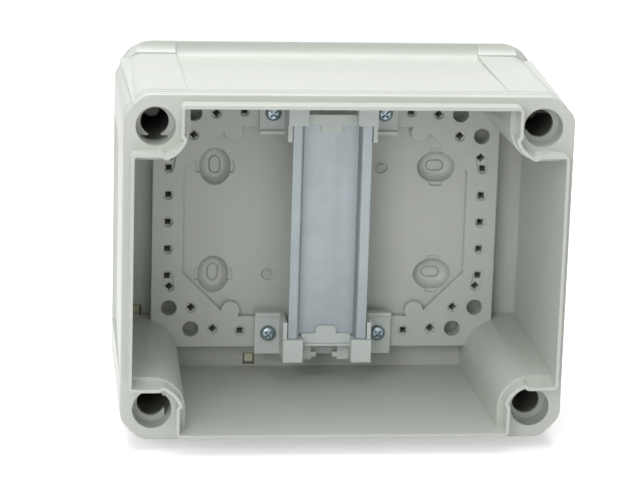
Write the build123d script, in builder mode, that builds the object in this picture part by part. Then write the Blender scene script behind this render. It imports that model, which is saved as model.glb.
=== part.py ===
"""Base of a modular device enclosure, with a mounting rail on two end brackets.

The box stands on its lower long side with its open front towards -Y, +Z up.
X runs along the width. Every sketch of the base is drawn as seen from the front,
x to the right and y up, about the middle of the box, on a plane whose level is
measured from the back face towards the opening. All sizes are in millimetres.
"""

import os
from math import atan2, cos, degrees, radians, sin, sqrt

from build123d import *

# Outline of the box
rim_width = 190.0
rim_height = 150.0
rim_level = 94.4
lip_height = 8.8
lip_thickness = 1.5
rim_ledge = 3.0
corner_facet = 8.5
corner_softening = 8.0
edge_round = 0.6

# Walls and the flange round the back
wall = 2.8
floor_thickness = 3.0
flange_inset_x = 1.5
flange_reach_y = 5.3
flange_radius = 15.0
flange_thickness = 2.0
flare_radius = 5.0
pad_width = 27.0
rim_band = 5.0
groove_width = 0.7
groove_depth = 0.8
second_groove = 9.7

# Corner columns with the bayonet sockets for the lid fasteners
column_inset = 13.5
column_radius = 14.2
column_spread = 1.8
column_root = 0.5
column_hollow_radius = 10.0
socket_radius = 8.35
socket_depth = 10.0
socket_shelf = 2.5
socket_hole_radius = 5.95
slot_bar_length = 11.5
slot_bar_width = 2.4
slot_bar_offset = 7.2
slot_stem_start = 4.0
slot_stem_neck = 4.2
slot_stem_width = 6.3
pillar_radius = 3.3
pillar_level = 59.0
pillar_rib = 2.0
pillar_rim = 0.5
pillar_dish = 0.4
lip_line_distance = 10.7
lip_arc_radius = 12.5
lip_jog = 3.6
lip_outer_bend = 1.6
lip_inner_bend = 0.9

# Raised fixing platform in the floor
floor_gap_x = 12.5
floor_gap_y = 12.1
column_merge = 3.0
platform_level = 13.0
platform_thickness = 3.0
grid_pitch = 12.5
side_row_count = 5
square_hole = 2.7
hole_ring_radius = 2.3
hole_ring_depth = 1.0
hole_depth = 9.5
round_hole_radius = 3.6
boss_wall = 1.8
side_row_inset = 7.0
end_row_inset = 7.4
corner_hole_inset_x = 8.0
corner_hole_inset_y = 8.4
corner_hole_step = 10.0
tray_inset_x = 14.0
tray_inset_y = 14.4
tray_corner_cut = 20.4
tray_sink = 3.4
tray_lobe_radius = 4.25
tray_lobe_inset_x = 22.0
tray_lobe_inset_y = 2.6
well_inset_x = 14.0
well_inset_y = 19.0
well_long = 8.5
well_short = 7.1
well_slope = 3.6
well_steps = 3
well_sink = 4.4
well_wall = 2.6
well_groove_radius = 8.7
well_groove_width = 5.6
well_groove_depth = 0.9
knockout_length = 8.3
knockout_width = 5.2
knockout_line = 0.5
knockout_sink = 0.5
pip_radius = 1.4
pip_ring_radius = 2.85
pip_sink = 0.8
window_size = 5.2
window_sink = 1.6
window_wall_gap_y = 3.5
window_wall_gap_x = 5.9
window_low_x = -32.3
window_left_y = -44.0

# Mounting rail
rail_width = 35.0
rail_height = 7.5
rail_thickness = 1.0
rail_channel = 27.0
rail_bend = 0.8
rail_length = 97.6
rail_front = 20.0

# Rail brackets: heights from the platform, reaches along the rail from the rail's end
foot_inner_reach = -7.5
foot_outer_reach = 12.0
foot_outer_x = 31.0
foot_thickness = 3.0
foot_rib_width = 1.7
foot_rib_height = 1.5
cheek_thickness = 1.9
rail_side_gap = 0.45
block_width = 8.9
block_top = 22.0
block_outer_reach = 10.6
cheek_top = 20.0
rail_end_gap = 0.2
bridge_outer_reach = 4.3
bridge_top = 15.0
bridge_edge_reach = -1.0
bridge_rib_width = 0.9
bridge_rib_height = 2.0
tongue_half_width = 4.6
tongue_reach = -4.6
tongue_corner = 1.2
tab_width = 5.0
tab_outer_reach = 12.4
tab_low = 8.0
tab_high = 11.0
nub_width = 2.2
nub_length = 2.4
nub_outer_reach = 11.2
web_play = 0.1

# Bracket screws
screw_reach = 2.2
screw_head_radius = 3.6
screw_head_height = 2.5
screw_head_crown = 2.0
screw_shank_radius = 1.25
screw_shank_length = 9.0
screw_hole_radius = 1.8
recess_width = 1.1
recess_length = 3.9
recess_depth = 1.5
recess_taper = 12.0

# Sizes worked out from the values above
depth = rim_level + lip_height
half_x = rim_width / 2
half_y = rim_height / 2
flange_width = rim_width - 2 * flange_inset_x
flange_height = rim_height + 2 * flange_reach_y
mid_height = flange_height / 2
lip_half_x = half_x - rim_ledge
lip_half_y = half_y - rim_ledge
inner_half_x = lip_half_x - lip_thickness
inner_half_y = lip_half_y - lip_thickness
panel_x = inner_half_x + wall
panel_y = inner_half_y + wall
bore_x = half_x - column_inset
bore_y = half_y - column_inset
column_foot = column_radius + column_spread
column_bury = column_spread + column_root
column_draft = degrees(atan2(column_spread, rim_level - floor_thickness))
boss_size = square_hole + 2 * boss_wall
beyond = 20.0
corners = ((1, 1), (-1, 1), (-1, -1), (1, -1))
platform_x = inner_half_x - floor_gap_x
platform_y = inner_half_y - floor_gap_y
platform_corner_sum = bore_x + bore_y - column_radius * sqrt(2) + column_merge
tray_x = platform_x - tray_inset_x
tray_y = platform_y - tray_inset_y
tray_corner_sum = tray_x + tray_y - tray_corner_cut
well_x = tray_x - well_inset_x
well_y = tray_y - well_inset_y
rail_end = rail_length / 2
tray_level = platform_level - tray_sink
well_level = tray_level - well_sink
panel_top = rim_level - rim_band
socket_level = rim_level - socket_depth
shelf_underside = socket_level - socket_shelf


def front_plane(level):
    """Plane seen from the front, at a level above the back face."""
    origin = (0, depth / 2 - level, mid_height)
    return Plane(origin=origin, x_dir=(1, 0, 0), z_dir=(0, -1, 0))


def side_plane(across_x, across_z):
    """Upright section plane through the middle: x is a direction of the front view, y the level."""
    origin = (0, depth / 2, mid_height)
    return Plane(origin=origin, x_dir=(across_x, 0, across_z), z_dir=(across_z, 0, -across_x))


def faceted(width, height, corner_sum):
    """Rectangle whose corners are cut at 45 degrees where |x| + |y| is corner_sum."""
    with BuildSketch(Plane.XY) as outline:
        Rectangle(width, height)
        with Locations(Rotation(0, 0, 45)):
            Rectangle(corner_sum * sqrt(2), corner_sum * sqrt(2), mode=Mode.INTERSECT)
    return outline.sketch


def rim_outline():
    """Outer outline at the rim: a rectangle with softened 45 degree corners."""
    with BuildSketch(Plane.XY) as outline:
        add(faceted(rim_width, rim_height, half_x + half_y - corner_facet))
        fillet(outline.vertices(), corner_softening)
    return outline.sketch


def column_corners():
    """The four column outlines at the floor, which reach into the walls by more than their draft."""
    with BuildSketch(Plane.XY) as outline:
        for side_x, side_y in corners:
            with Locations((side_x * bore_x, side_y * bore_y)):
                Circle(column_foot)
            with Locations((side_x * (bore_x + beyond / 2), side_y * (bore_y + beyond / 2))):
                Rectangle(beyond, beyond + 2 * column_foot)
                Rectangle(beyond + 2 * column_foot, beyond)
        reach_x = inner_half_x + column_bury
        reach_y = inner_half_y + column_bury
        Rectangle(2 * reach_x, 2 * reach_y, mode=Mode.INTERSECT)
    return outline.sketch


def lip_notches():
    """Corner areas that the middle line of the lip leaves out, so that it runs inside the sockets."""
    with BuildSketch(Plane.XY) as outline:
        for side_x, side_y in corners:
            with Locations((side_x * bore_x, side_y * bore_y)):
                Circle(lip_arc_radius)
            for reach_x, reach_y in ((lip_line_distance, lip_jog), (lip_jog, lip_line_distance)):
                centre_x = side_x * (bore_x + (beyond - reach_x) / 2)
                centre_y = side_y * (bore_y + (beyond - reach_y) / 2)
                with Locations((centre_x, centre_y)):
                    Rectangle(beyond + reach_x, beyond + reach_y)
            spare = lip_line_distance + beyond / 2
            along = (beyond - lip_jog) / 2
            with Locations((side_x * (bore_x - spare), side_y * (bore_y + along))):
                Rectangle(beyond, beyond + lip_jog, mode=Mode.SUBTRACT)
            with Locations((side_x * (bore_x + along), side_y * (bore_y - spare))):
                Rectangle(beyond + lip_jog, beyond, mode=Mode.SUBTRACT)
    return outline.sketch


def lip_line():
    """Area inside the middle line of the lip, with its outer and inner corners rounded."""
    with BuildSketch(Plane.XY) as outline:
        Rectangle(2 * lip_half_x - lip_thickness, 2 * lip_half_y - lip_thickness)
        add(lip_notches(), mode=Mode.SUBTRACT)
    shrunk = offset(outline.sketch, amount=-lip_outer_bend, kind=Kind.INTERSECTION)
    rounded = offset(shrunk, amount=lip_outer_bend)
    grown = offset(rounded, amount=lip_inner_bend, kind=Kind.INTERSECTION)
    return offset(grown, amount=-lip_inner_bend)


lip_outside = offset(lip_line(), amount=lip_thickness / 2)
lip_inside = offset(lip_line(), amount=-lip_thickness / 2)


def flare_section(half_size, reach):
    """Section of the flange: a thin plate that runs into the wall in a hollow curve on each side."""
    radius = min(flare_radius, reach)
    with BuildSketch(Plane.XY) as section:
        with Locations((0, flange_thickness / 2)):
            Rectangle(2 * (half_size + reach + beyond), flange_thickness)
        with Locations((0, (flange_thickness + radius) / 2)):
            Rectangle(2 * (half_size + radius), flange_thickness + radius)
        for side in (1, -1):
            with Locations((side * (half_size + radius), flange_thickness + radius)):
                Circle(radius, mode=Mode.SUBTRACT)
    return section.sketch


def panel_section(rim_distance, back_distance):
    """Wedge that each wall panel is recessed by, deepest at the back, on both sides of the middle."""
    with BuildSketch(Plane.XY) as section:
        with BuildLine():
            Polyline(
                (back_distance, flange_thickness),
                (rim_distance, panel_top),
                (rim_distance + beyond, panel_top),
                (rim_distance + beyond, flange_thickness),
                close=True,
            )
        make_face()
        inner_low = section.vertices().sort_by(Axis.X)[0]
        fillet(inner_low, flare_radius)
        mirror(about=Plane.YZ)
    return section.sketch


def socket_outline():
    """Hole of the bayonet socket, with a T-shaped slot towards its local +x."""
    with BuildSketch(Plane.XY) as outline:
        with BuildLine():
            Polyline(
                (slot_stem_start, -slot_stem_neck / 2),
                (slot_bar_offset, -slot_stem_width / 2),
                (slot_bar_offset, slot_stem_width / 2),
                (slot_stem_start, slot_stem_neck / 2),
                close=True,
            )
        make_face()
        Circle(socket_hole_radius)
        with Locations((slot_bar_offset, 0)):
            Rectangle(slot_bar_width, slot_bar_length)
        Circle(socket_radius, mode=Mode.INTERSECT)
    return outline.sketch


def grid_row(count, pitch):
    """Middle-centred coordinates of a row."""
    return [(index - (count - 1) / 2) * pitch for index in range(count)]


# Hole places on the platform
side_row_x = platform_x - side_row_inset
end_row_y = platform_y - end_row_inset
screw_row_y = rail_end + screw_reach
screw_x = 2 * grid_pitch
end_hole_x = 3 * grid_pitch
corner_hole_x = platform_x - corner_hole_inset_x
corner_hole_y = platform_y - corner_hole_inset_y
side_holes = [(side * side_row_x, y) for side in (-1, 1) for y in grid_row(side_row_count, grid_pitch)]
end_holes = [(sx * end_hole_x, sy * end_row_y) for sx, sy in corners]
screw_places = [(sx * screw_x, sy * screw_row_y) for sx, sy in corners]


def corner_row(count):
    """Places of a slanting row of corner holes in each quarter, from the side towards the end."""
    steps = [(i * corner_hole_step, (count - 1 - i) * corner_hole_step) for i in range(count)]
    return [(sx * (corner_hole_x - dx), sy * (corner_hole_y - dy)) for sx, sy in corners for dx, dy in steps]


turned_count = 3
turned_holes = corner_row(turned_count)
round_holes = corner_row(turned_count - 1)
straight_holes = side_holes + end_holes + screw_places
small_holes = straight_holes + turned_holes
last_side_y = (side_row_count - 1) / 2 * grid_pitch
first_turned_y = corner_hole_y - (turned_count - 1) * corner_hole_step
paired_holes = [
    ((sx * side_row_x, sy * last_side_y), (sx * corner_hole_x, sy * first_turned_y))
    for sx, sy in corners
]
wells = [Location((sx * well_x, sy * well_y, 0), (0, 0, 90 if sx > 0 else 0)) for sx, sy in corners]
bore_places = [(sx * bore_x, sy * bore_y) for sx, sy in corners]
socket_turns = (180, 270, 0, 90)
socket_places = [Location((x, y, 0), (0, 0, turn)) for (x, y), turn in zip(bore_places, socket_turns)]
pip_places = ((-2 * grid_pitch, -2 * grid_pitch), (2 * grid_pitch, 2 * grid_pitch))
window_places = (
    (window_low_x, window_wall_gap_y - inner_half_y),
    (window_wall_gap_x - inner_half_x, window_left_y),
)

# Enclosure base
with BuildPart() as enclosure_base:
    # flange round the back, flared into the walls above, below and across the corner facets
    with BuildSketch(front_plane(0)):
        RectangleRounded(flange_width, flange_height, flange_radius)
    extrude(amount=flange_thickness + flare_radius)
    with BuildSketch(side_plane(0, 1)):
        add(flare_section(half_y, flange_height / 2 - half_y))
    extrude(amount=rim_width, both=True, mode=Mode.INTERSECT)
    facet_distance = (half_x + half_y - corner_facet) / sqrt(2)
    flange_diagonal = (flange_width + flange_height) / sqrt(8) - flange_radius * (sqrt(2) - 1)
    for side in (1, -1):
        with BuildSketch(side_plane(side * cos(radians(45)), sin(radians(45)))):
            add(flare_section(facet_distance, flange_diagonal - facet_distance))
        extrude(amount=rim_width, both=True, mode=Mode.INTERSECT)

    # body up to the rim, with the corner grooves behind the rim band
    with BuildSketch(front_plane(0)):
        add(rim_outline())
    extrude(amount=rim_level)
    for distance in (rim_band, second_groove):
        with BuildSketch(front_plane(rim_level - distance - groove_width)):
            add(rim_outline())
            offset(rim_outline(), amount=-groove_depth, mode=Mode.SUBTRACT)
        extrude(amount=groove_width, mode=Mode.SUBTRACT)
    rim_edges = enclosure_base.faces().sort_by(Axis.Y)[0].edges()
    fillet(rim_edges, edge_round)

    # wall panels between the corner pads, sunk deeper towards the back
    with BuildSketch(side_plane(0, 1)):
        add(panel_section(half_y, panel_y))
    extrude(amount=half_x - pad_width, both=True, mode=Mode.SUBTRACT)
    with BuildSketch(side_plane(1, 0)):
        add(panel_section(half_x, panel_x))
    extrude(amount=half_y - pad_width, both=True, mode=Mode.SUBTRACT)

    # lip that takes the lid's seal, led inside the four sockets
    with BuildSketch(front_plane(rim_level)):
        add(lip_outside)
        add(lip_inside, mode=Mode.SUBTRACT)
    extrude(amount=lip_height)

    # cavity, and the columns in its corners, which widen towards the floor
    with BuildSketch(front_plane(floor_thickness)):
        Rectangle(2 * inner_half_x, 2 * inner_half_y)
    extrude(amount=rim_level - floor_thickness, mode=Mode.SUBTRACT)
    with BuildSketch(front_plane(floor_thickness)):
        add(column_corners())
    extrude(amount=rim_level - floor_thickness, taper=column_draft)

    # fixing platform, hollow from behind
    with BuildSketch(front_plane(floor_thickness)):
        add(faceted(2 * platform_x, 2 * platform_y, platform_corner_sum))
    extrude(amount=platform_level - floor_thickness)
    skin = 2 * platform_thickness
    with BuildSketch(front_plane(0)):
        add(faceted(2 * platform_x - skin, 2 * platform_y - skin, platform_corner_sum - skin))
    extrude(amount=platform_level - platform_thickness, mode=Mode.SUBTRACT)

    # sunk tray in the middle, its four wells and the bosses behind the holes
    with BuildSketch(front_plane(tray_level - platform_thickness)):
        add(faceted(2 * tray_x + skin, 2 * tray_y + skin, tray_corner_sum + skin))
    extrude(amount=tray_sink)
    with BuildSketch(front_plane(well_level - well_wall)):
        with Locations(*wells):
            Circle(well_long + well_wall)
    extrude(amount=tray_level - well_level + well_wall)
    with BuildSketch(front_plane(platform_level - hole_depth - boss_wall)):
        with Locations(*straight_holes):
            Rectangle(boss_size, boss_size)
        with Locations(*turned_holes):
            Rectangle(boss_size, boss_size, rotation=45)
        with Locations(*round_holes):
            Circle(round_hole_radius + boss_wall)
    extrude(amount=hole_depth)
    with BuildSketch(front_plane(tray_level)):
        add(faceted(2 * tray_x, 2 * tray_y, tray_corner_sum))
        for side_x, side_y in corners:
            with Locations((side_x * (tray_x - tray_lobe_inset_x), side_y * (tray_y - tray_lobe_inset_y))):
                Circle(tray_lobe_radius, mode=Mode.SUBTRACT)
    extrude(amount=tray_sink, mode=Mode.SUBTRACT)

    # oval bowls over the knock-outs, steep at the rim, those on the right turned by a quarter
    for well in wells:
        for step in range(well_steps + 1):
            swing = radians(90) * step / well_steps
            inset = well_slope * (1 - cos(swing))
            with BuildSketch(front_plane(tray_level - well_sink * sin(swing))):
                with Locations(well):
                    Ellipse(well_short - inset, well_long - inset)
        loft(mode=Mode.SUBTRACT)
    with BuildSketch(front_plane(tray_level - well_groove_depth)):
        with Locations(*wells):
            Rectangle(2 * well_groove_radius, well_groove_width)
        with Locations(*wells):
            Circle(well_groove_radius, mode=Mode.INTERSECT)
    extrude(amount=well_groove_depth, mode=Mode.SUBTRACT)
    with BuildSketch(front_plane(well_level - knockout_sink)):
        with Locations(*wells):
            SlotOverall(knockout_length, knockout_width, rotation=90)
        with Locations(*wells):
            core_length = knockout_length - 2 * knockout_line
            SlotOverall(core_length, knockout_width - 2 * knockout_line, rotation=90, mode=Mode.SUBTRACT)
    extrude(amount=knockout_sink, mode=Mode.SUBTRACT)

    # holes of the platform, each with a fine ring round its mouth
    with BuildSketch(front_plane(platform_level - hole_depth)):
        with Locations(*straight_holes):
            Rectangle(square_hole, square_hole)
        with Locations(*turned_holes):
            Rectangle(square_hole, square_hole, rotation=45)
        with Locations(*round_holes):
            Circle(round_hole_radius)
    extrude(amount=hole_depth, mode=Mode.SUBTRACT)
    with BuildSketch(front_plane(platform_level - hole_ring_depth)):
        with Locations(*small_holes):
            Circle(hole_ring_radius)
        for first, second in paired_holes:
            with BuildLine():
                Line(first, second)
            trace(line_width=2 * hole_ring_radius)
    extrude(amount=hole_ring_depth, mode=Mode.SUBTRACT)
    with BuildSketch(front_plane(tray_level - pip_sink)):
        with Locations(*pip_places):
            Circle(pip_ring_radius)
            Circle(pip_radius, mode=Mode.SUBTRACT)
    extrude(amount=pip_sink, mode=Mode.SUBTRACT)
    with BuildSketch(front_plane(floor_thickness - window_sink)):
        with Locations(*window_places):
            Rectangle(window_size, window_size)
    extrude(amount=window_sink, mode=Mode.SUBTRACT)

    # columns: hollow down to the floor, a pillar on a web, and the bayonet socket in front
    with BuildSketch(front_plane(floor_thickness)):
        with Locations(*bore_places):
            Circle(column_hollow_radius)
    extrude(amount=shelf_underside - floor_thickness, mode=Mode.SUBTRACT)
    with BuildSketch(front_plane(floor_thickness)):
        for side_x, side_y in corners:
            with Locations((side_x * bore_x, side_y * bore_y)):
                Circle(pillar_radius)
            with Locations((side_x * (bore_x + column_hollow_radius / 2), side_y * bore_y)):
                Rectangle(column_hollow_radius + wall, pillar_rib)
    extrude(amount=pillar_level - floor_thickness)
    with BuildSketch(front_plane(pillar_level)):
        with Locations(*bore_places):
            Circle(pillar_radius - pillar_rim)
    extrude(amount=-pillar_dish, mode=Mode.SUBTRACT)
    with BuildSketch(front_plane(socket_level)):
        with Locations(*bore_places):
            Circle(socket_radius)
    extrude(amount=socket_depth, mode=Mode.SUBTRACT)
    with BuildSketch(front_plane(shelf_underside)):
        with Locations(*socket_places):
            add(socket_outline())
    extrude(amount=socket_shelf, mode=Mode.SUBTRACT)
enclosure_base.part.label = "enclosure_base"


def upright_plane(level):
    """Horizontal plane through the rail's run: x as seen from the front, y the level, upwards."""
    origin = (0, depth / 2, mid_height + level)
    return Plane(origin=origin, x_dir=(1, 0, 0), z_dir=(0, 0, 1))


# Mounting rail: a folded top-hat strip
with BuildPart() as din_rail:
    web_level = platform_level + rail_front - rail_height + rail_thickness / 2
    flange_level = platform_level + rail_front - rail_thickness / 2
    channel_x = (rail_channel - rail_thickness) / 2
    with BuildSketch(upright_plane(-rail_length / 2)):
        with BuildLine():
            FilletPolyline(
                (-rail_width / 2, -flange_level),
                (-channel_x, -flange_level),
                (-channel_x, -web_level),
                (channel_x, -web_level),
                (channel_x, -flange_level),
                (rail_width / 2, -flange_level),
                radius=rail_bend + rail_thickness / 2,
            )
        trace(line_width=rail_thickness)
    extrude(amount=rail_length)
din_rail.part.label = "din_rail"


def bracket_sketch(side, boxes):
    """Rectangles given as (x low, x high, y low, y high), y counted outwards from the middle."""
    with BuildSketch(Plane.XY) as outline:
        for x_low, x_high, y_low, y_high in boxes:
            with Locations(((x_low + x_high) / 2, side * (y_low + y_high) / 2)):
                Rectangle(x_high - x_low, y_high - y_low)
    return outline.sketch


def both_sides(x_low, x_high, y_low, y_high):
    """A box and its mirror image across the rail."""
    return [(x_low, x_high, y_low, y_high), (-x_high, -x_low, y_low, y_high)]


def make_bracket(side):
    """End bracket of the rail. side is 1 for the upper one and -1 for the lower one."""
    cheek_inner = rail_width / 2 + rail_side_gap
    cheek_outer = cheek_inner + cheek_thickness
    stop_y = rail_end + rail_end_gap
    foot_inner_y = rail_end + foot_inner_reach
    foot_outer_y = rail_end + foot_outer_reach
    block_outer_y = rail_end + block_outer_reach
    bridge_edge_y = rail_end + bridge_edge_reach
    bridge_outer_y = rail_end + bridge_outer_reach
    tab_outer_y = rail_end + tab_outer_reach
    nub_outer_y = rail_end + nub_outer_reach
    block_inner = cheek_outer - block_width
    web_back = rail_front - rail_height
    web_front = web_back + rail_thickness + web_play
    base = platform_level
    with BuildPart() as bracket:
        # feet with a fine rib along their inner edge
        with BuildSketch(front_plane(base)):
            add(bracket_sketch(side, both_sides(cheek_inner, foot_outer_x, foot_inner_y, foot_outer_y)))
        extrude(amount=foot_thickness)
        with BuildSketch(front_plane(base + foot_thickness)):
            rib_box = both_sides(cheek_outer, foot_outer_x, foot_inner_y, foot_inner_y + foot_rib_width)
            add(bracket_sketch(side, rib_box))
        extrude(amount=foot_rib_height)
        # cheeks beside the rail, and blocks that close its ends
        with BuildSketch(front_plane(base)):
            add(bracket_sketch(side, both_sides(cheek_inner, cheek_outer, foot_inner_y, block_outer_y)))
        extrude(amount=cheek_top)
        with BuildSketch(front_plane(base)):
            add(bracket_sketch(side, both_sides(block_inner, cheek_outer, stop_y, block_outer_y)))
        extrude(amount=block_top)
        # base plate behind the rail's end, bearer under its web, and the bridge over its end
        with BuildSketch(front_plane(base)):
            add(bracket_sketch(side, [(-cheek_outer, cheek_outer, bridge_edge_y, foot_outer_y)]))
        extrude(amount=foot_thickness)
        with BuildSketch(front_plane(base)):
            add(bracket_sketch(side, [(-cheek_outer, cheek_outer, bridge_edge_y, bridge_outer_y)]))
        extrude(amount=web_back)
        with BuildSketch(front_plane(base + web_back)):
            add(bracket_sketch(side, [(-block_inner, block_inner, stop_y, bridge_outer_y)]))
        extrude(amount=bridge_top - web_back)
        half_channel = rail_channel / 2 - rail_thickness - rail_bend - rail_side_gap
        with BuildSketch(front_plane(base + web_front)) as cover:
            add(bracket_sketch(side, [(-half_channel, half_channel, bridge_edge_y, stop_y)]))
            tongue_box = (-tongue_half_width, tongue_half_width, rail_end + tongue_reach, stop_y)
            add(bracket_sketch(side, [tongue_box]))
            tips = cover.vertices().group_by(Axis.Y)[0 if side > 0 else -1]
            chamfer(tips, tongue_corner)
        extrude(amount=bridge_top - web_front)
        with BuildSketch(front_plane(base + bridge_top)):
            rib_low = bridge_outer_y - bridge_rib_width
            add(bracket_sketch(side, [(-block_inner, block_inner, rib_low, bridge_outer_y)]))
        extrude(amount=bridge_rib_height)
        # tabs between the blocks, outside the bridge, each with a nub near its outer end
        with BuildSketch(front_plane(base + tab_low)):
            tab_inner = block_inner - tab_width
            nub_inner = tab_inner - nub_width
            nub_box = both_sides(nub_inner, tab_inner, nub_outer_y - nub_length, nub_outer_y)
            add(bracket_sketch(side, both_sides(tab_inner, block_inner, bridge_outer_y, tab_outer_y)))
            add(bracket_sketch(side, nub_box))
        extrude(amount=tab_high - tab_low)
        # screw holes in the feet
        with BuildSketch(front_plane(base)):
            with Locations((-screw_x, side * screw_row_y), (screw_x, side * screw_row_y)):
                Circle(screw_hole_radius)
        extrude(amount=foot_thickness, mode=Mode.SUBTRACT)
    return bracket


def make_screw(place):
    """Pan-head screw with a cross recess, seated on a bracket's foot."""
    seat = platform_level + foot_thickness
    with BuildPart() as screw:
        with BuildSketch(front_plane(seat)):
            with Locations(place):
                Circle(screw_head_radius)
        extrude(amount=screw_head_height)
        fillet(screw.edges().group_by(Axis.Y)[0], screw_head_crown)
        with BuildSketch(front_plane(seat - screw_shank_length)):
            with Locations(place):
                Circle(screw_shank_radius)
        extrude(amount=screw_shank_length)
        with BuildSketch(front_plane(seat + screw_head_height)):
            with Locations(place):
                Rectangle(recess_length, recess_width, rotation=45)
                Rectangle(recess_length, recess_width, rotation=-45)
        extrude(amount=-recess_depth, taper=recess_taper, mode=Mode.SUBTRACT)
    return screw


rail_bracket_upper = make_bracket(1)
rail_bracket_upper.part.label = "rail_bracket_upper"
rail_bracket_lower = make_bracket(-1)
rail_bracket_lower.part.label = "rail_bracket_lower"

pieces = [enclosure_base, din_rail, rail_bracket_upper, rail_bracket_lower]
for place in screw_places:
    screw = make_screw(place)
    row = "upper" if place[1] > 0 else "lower"
    column = "right" if place[0] > 0 else "left"
    screw.part.label = f"bracket_screw_{row}_{column}"
    pieces.append(screw)

os.makedirs("parts", exist_ok=True)
for piece in pieces:
    export_step(piece.part, f"parts/{piece.part.label}.step")
    print(piece.part.label, round(piece.part.volume), "mm3")
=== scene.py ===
import bpy
from mathutils import Matrix, Vector

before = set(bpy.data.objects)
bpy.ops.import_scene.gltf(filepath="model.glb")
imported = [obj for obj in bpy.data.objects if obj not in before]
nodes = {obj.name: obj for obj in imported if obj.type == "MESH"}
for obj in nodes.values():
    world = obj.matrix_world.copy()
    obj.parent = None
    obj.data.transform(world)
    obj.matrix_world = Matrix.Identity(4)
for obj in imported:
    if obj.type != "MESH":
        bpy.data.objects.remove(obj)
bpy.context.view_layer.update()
print("frame loaded:", ", ".join(sorted(nodes)))


class Wire:
    # one output of a node, so that shader maths reads as an expression
    def __init__(self, maker, socket):
        self.maker = maker
        self.socket = socket

    def output(self, out):
        # another output of the same node
        return Wire(self.maker, self.socket.node.outputs[out])

    def math(self, operation, first, second=0.0, clamp=False):
        settings = {"operation": operation, "use_clamp": clamp}
        return self.maker.node("ShaderNodeMath", settings, {0: first, 1: second})

    def __add__(self, other):
        return self.math("ADD", self, other)

    def __sub__(self, other):
        return self.math("SUBTRACT", self, other)

    def __rsub__(self, other):
        return self.math("SUBTRACT", other, self)

    def __mul__(self, other):
        return self.math("MULTIPLY", self, other)

    def __lt__(self, other):
        return self.math("LESS_THAN", self, other)

    def __gt__(self, other):
        return self.math("GREATER_THAN", self, other)

    def __abs__(self):
        return self.math("ABSOLUTE", self)

    def clipped(self):
        # held between 0 and 1
        return self.math("ADD", self, 0.0, clamp=True)

    __radd__ = __add__
    __rmul__ = __mul__


class NodeMaker:
    # a node tree, with the one method that puts nodes into it
    def __init__(self, tree):
        self.tree = tree

    def node(self, kind, settings=None, sockets=None, out=0):
        # out is the output that comes back, or None for a node that has none
        made = self.tree.nodes.new(kind)
        for key, value in (settings or {}).items():
            setattr(made, key, value)
        for key, value in (sockets or {}).items():
            self.plug(made.inputs[key], value)
        return None if out is None else Wire(self, made.outputs[out])

    def plug(self, socket, value):
        # links a wire to a socket, or writes a plain value on it
        if isinstance(value, Wire):
            self.tree.links.new(value.socket, socket)
        else:
            socket.default_value = value

    def blend(self, factor, first, second):
        # colour between two colours: sockets 6 and 7 and output 2 are the Mix node's colours
        sockets = {0: factor, 6: first, 7: second}
        return self.node("ShaderNodeMix", {"data_type": "RGBA"}, sockets, out=2)

    def seenDirectly(self):
        # 1 for rays from the camera and for those seen in gloss or through glass
        camera = self.node("ShaderNodeLightPath", out="Is Camera Ray")
        gloss = camera.output("Is Glossy Ray")
        glass = camera.output("Is Transmission Ray")
        return (camera + gloss + glass).clipped()


class Finish(NodeMaker):
    # one material: a Principled shader and the nodes that feed it
    def __init__(self, name):
        self.material = bpy.data.materials.new(name)
        self.material.use_nodes = True
        super().__init__(self.material.node_tree)
        self.tree.nodes.clear()
        surface = self.node("ShaderNodeBsdfPrincipled")
        self.shader = surface.socket.node
        self.node("ShaderNodeOutputMaterial", sockets={"Surface": surface}, out=None)
        self.place = self.node("ShaderNodeTexCoord", out="Object")

    def feed(self, sockets):
        for key, value in sockets.items():
            self.plug(self.shader.inputs[key], value)

    def noise(self, scale, detail=2.0, roughness=0.5, vector=None):
        # grey noise about 0.5, scale in waves per metre
        sockets = {"Scale": scale, "Detail": detail, "Roughness": roughness}
        sockets["Vector"] = vector or self.place
        return self.node("ShaderNodeTexNoise", sockets=sockets)

    def stretched(self, scale):
        # object coordinates with each axis scaled on its own
        return self.node("ShaderNodeMapping", sockets={"Vector": self.place, "Scale": scale})

    def axes(self):
        # the three object coordinates as separate values
        x = self.node("ShaderNodeSeparateXYZ", sockets={0: self.place})
        return x, x.output("Y"), x.output("Z")

    def grained(self, height, look):
        # a fine bump over softened edges, because a moulded or rolled edge catches the light
        edges = self.node("ShaderNodeBevel", {"samples": 4}, {"Radius": look["edgeRadius"]})
        return self.node("ShaderNodeBump", sockets={
            "Height": height,
            "Distance": look["grainDepth"],
            "Strength": look["grainStrength"],
            "Normal": edges,
        })


def paintedWindowMask(coordinates, centre, size, depths):
    # 1 inside an upright square of the front view, between two depths in the floor of the box:
    # where painted light and painted shade go
    x, y, z = coordinates
    inside = (abs(x - centre[0]) < size / 2) * (abs(z - centre[1]) < size / 2)
    return inside * (y > depths[0]) * (y < depths[1])


enclosureLook = {
    "colour": (0.555, 0.580, 0.535, 1.0),
    "shade": (0.535, 0.560, 0.515, 1.0),
    "cloudScale": 22.0,
    "roughness": 0.27,
    "roughnessSpread": 0.10,
    "roughnessScale": 60.0,
    "ior": 1.5,
    "grainScale": 5200.0,
    "grainDepth": 0.00001,
    "grainStrength": 0.6,
    "edgeRadius": 0.0006,
    # painted light glowing through the thin floor of a square pocket, inside a frame of painted
    # shade; neither is a colour of the plastic
    "paintedWindowLight": (0.78, 0.76, 0.58, 1.0),
    "paintedWindowShade": (0.25, 0.255, 0.20, 1.0),
    "windowSize": 0.0054,
    "windowCentre": 0.0036,
    "windowDepths": (0.045, 0.051),
    "windowPlaces": ((-0.0323, 0.0133), (-0.0846, 0.0363)),
}


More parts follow.
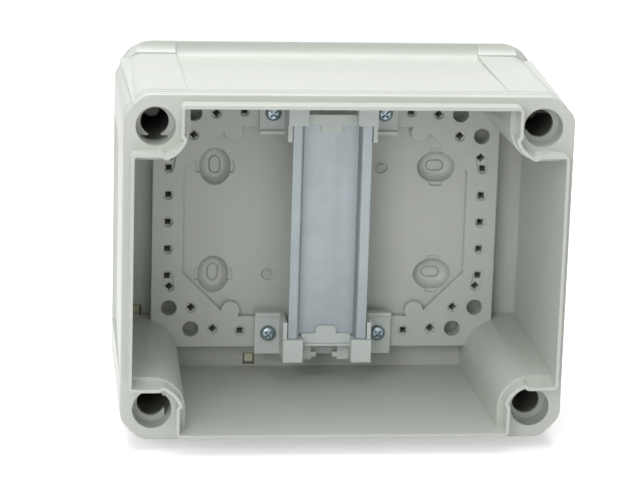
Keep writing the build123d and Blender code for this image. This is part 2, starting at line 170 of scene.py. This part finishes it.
def enclosurePlastic(look):
    made = Finish("enclosurePlastic")
    cloud = made.noise(look["cloudScale"], detail=3.0)
    polish = made.noise(look["roughnessScale"], detail=3.0)
    colour = made.blend(cloud, look["colour"], look["shade"])
    coordinates = made.axes()
    # paints shade on the pocket's frame, then paints the light that shines through the thin
    # floor in its centre
    for size, paint in (("windowSize", "paintedWindowShade"), ("windowCentre", "paintedWindowLight")):
        for centre in look["windowPlaces"]:
            mask = paintedWindowMask(coordinates, centre, look[size], look["windowDepths"])
            colour = made.blend(mask, colour, look[paint])
    made.feed({
        "Base Color": colour,
        "Roughness": polish * look["roughnessSpread"] + look["roughness"],
        "Normal": made.grained(made.noise(look["grainScale"]), look),
        "IOR": look["ior"],
    })
    return made.material


bracketLook = {
    "colour": (0.635, 0.68, 0.655, 1.0),
    "shade": (0.60, 0.645, 0.62, 1.0),
    "cloudScale": 60.0,
    "roughness": 0.38,
    "roughnessSpread": 0.08,
    "roughnessScale": 150.0,
    "grainScale": 4200.0,
    "grainDepth": 0.000015,
    "grainStrength": 0.6,
    "edgeRadius": 0.0003,
}


def bracketPlastic(look):
    made = Finish("bracketPlastic")
    cloud = made.noise(look["cloudScale"], detail=3.0)
    polish = made.noise(look["roughnessScale"])
    made.feed({
        "Base Color": made.blend(cloud, look["colour"], look["shade"]),
        "Roughness": polish * look["roughnessSpread"] + look["roughness"],
        "Normal": made.grained(made.noise(look["grainScale"]), look),
    })
    return made.material


railLook = {
    "colour": (0.29, 0.34, 0.357, 1.0),
    "pale": (0.47, 0.52, 0.545, 1.0),
    "bloomShare": 0.5,
    "rolledShare": 0.2,
    "bandShare": 0.3,
    "contrast": 1.6,
    "metallic": 0.55,
    "roughness": 0.36,
    "bloomRoughness": 0.16,
    "rolledRoughness": 0.08,
    "bloomScale": 95.0,
    "streakScale": (2400.0, 2400.0, 30.0),
    "bandScale": (260.0, 260.0, 7.0),
    "grainDepth": 0.00001,
    "grainStrength": 0.5,
    "edgeRadius": 0.0002,
}


def railZinc(look):
    made = Finish("railZinc")
    bloom = made.noise(look["bloomScale"], detail=4.0, roughness=0.6)
    streaks = made.stretched(look["streakScale"])
    rolled = made.noise(1.0, detail=3.0, roughness=0.6, vector=streaks)
    bands = made.noise(1.0, vector=made.stretched(look["bandScale"]))
    cloud = bloom * look["bloomShare"] + rolled * look["rolledShare"] + bands * look["bandShare"]
    tint = ((cloud - 0.5) * look["contrast"] + 0.5).clipped()
    dull = bloom * look["bloomRoughness"] + rolled * look["rolledRoughness"]
    made.feed({
        "Base Color": made.blend(tint, look["colour"], look["pale"]),
        "Roughness": (dull + look["roughness"]).clipped(),
        "Metallic": look["metallic"],
        "Normal": made.grained(rolled, look),
    })
    return made.material


screwLook = {
    "colour": (0.50, 0.60, 0.64, 1.0),
    "dull": (0.20, 0.25, 0.27, 1.0),
    "patchScale": 700.0,
    "metallic": 1.0,
    "roughness": 0.25,
    "roughnessSpread": 0.18,
    "grainScale": 3000.0,
    "grainDepth": 0.00001,
    "grainStrength": 0.5,
    "edgeRadius": 0.00015,
}


def screwZinc(look):
    made = Finish("screwZinc")
    patch = made.noise(look["patchScale"], detail=3.0)
    made.feed({
        "Base Color": made.blend(patch, look["colour"], look["dull"]),
        "Roughness": patch * look["roughnessSpread"] + look["roughness"],
        "Metallic": look["metallic"],
        "Normal": made.grained(made.noise(look["grainScale"]), look),
    })
    return made.material


def dress(nodeNames, material):
    for name in nodeNames:
        mesh = nodes[name].data
        mesh.materials.clear()
        mesh.materials.append(material)


dress(["enclosure_base"], enclosurePlastic(enclosureLook))
dress(["rail_bracket_upper", "rail_bracket_lower"], bracketPlastic(bracketLook))
dress(["din_rail"], railZinc(railLook))
dress([name for name in nodes if name.startswith("bracket_screw")], screwZinc(screwLook))
print("finishes: enclosure, brackets, rail, screws")


stageLook = {
    "size": 14.0,
    "colour": (0.84, 0.84, 0.84, 1.0),
    "roughness": 0.9,
    "dark": (0.0, 0.0, 0.0, 1.0),
    "lift": (0.45, 0.45, 0.45, 1.0),
    "background": (1.0, 1.0, 1.0, 1.0),
    "ambient": 0.12,
}


def makeFloor(look):
    half = look["size"] / 2
    mesh = bpy.data.meshes.new("floor")
    corners = [(-half, -half, 0), (half, -half, 0), (half, half, 0), (-half, half, 0)]
    mesh.from_pydata(corners, [], [(0, 1, 2, 3)])
    floor = bpy.data.objects.new("floor", mesh)
    bpy.context.scene.collection.objects.link(floor)
    made = Finish("floorPaint")
    made.feed({
        "Base Color": look["colour"],
        "Roughness": look["roughness"],
        "Emission Color": made.blend(made.seenDirectly(), look["dark"], look["lift"]),
        "Emission Strength": 1.0,
    })
    mesh.materials.append(made.material)


def makeWorld(look):
    world = bpy.data.worlds.new("studio")
    world.use_nodes = True
    bpy.context.scene.world = world
    made = NodeMaker(world.node_tree)
    background = world.node_tree.nodes["Background"]
    strength = made.seenDirectly() * (1.0 - look["ambient"]) + look["ambient"]
    made.plug(background.inputs["Strength"], strength)
    made.plug(background.inputs["Color"], look["background"])


lampTarget = (0.0, 0.0, 0.08)
lampLook = {
    "topBack": {"at": (-0.15, 0.35, 1.6), "size": 1.2, "power": 16.3},
    "topFront": {"at": (-0.10, -0.45, 1.6), "size": 1.2, "power": 14.0},
    "frontLeft": {"at": (-0.95, -1.9, 0.95), "size": 1.1, "power": 15.9},
    "frontRight": {"at": (0.95, -1.9, 0.95), "size": 1.1, "power": 3.6},
    "sideLeft": {"at": (-1.7, -0.7, 0.9), "size": 1.1, "power": 5.2},
}


def makeLamp(name, look, target):
    lamp = bpy.data.lights.new(name, "AREA")
    lamp.shape = "SQUARE"
    lamp.size = look["size"]
    lamp.energy = look["power"]
    holder = bpy.data.objects.new(name, lamp)
    bpy.context.scene.collection.objects.link(holder)
    aim = Vector(target) - Vector(look["at"])
    turn = aim.to_track_quat("-Z", "Y").to_matrix().to_4x4()
    holder.matrix_world = Matrix.Translation(look["at"]) @ turn


cameraLook = {
    "at": (-0.14364, -1.15479, 0.38179),
    "right": (0.993472, -0.110261, 0.029250),
    "up": (-0.000608, 0.251285, 0.967913),
    "back": (-0.114073, -0.961613, 0.249577),
    "lens": 154.46,
    "sensor": 36.0,
    "clipStart": 0.01,
}


def makeCamera(look):
    camera = bpy.data.cameras.new("camera")
    camera.lens = look["lens"]
    camera.sensor_width = look["sensor"]
    camera.clip_start = look["clipStart"]
    holder = bpy.data.objects.new("camera", camera)
    bpy.context.scene.collection.objects.link(holder)
    turn = Matrix((look["right"], look["up"], look["back"])).transposed().to_4x4()
    holder.matrix_world = Matrix.Translation(look["at"]) @ turn
    bpy.context.scene.camera = holder


makeFloor(stageLook)
makeWorld(stageLook)
for lampName, lampValues in lampLook.items():
    makeLamp(lampName, lampValues, lampTarget)
makeCamera(cameraLook)
bpy.context.scene.view_settings.view_transform = "Standard"
print("stage, lamps and camera set")
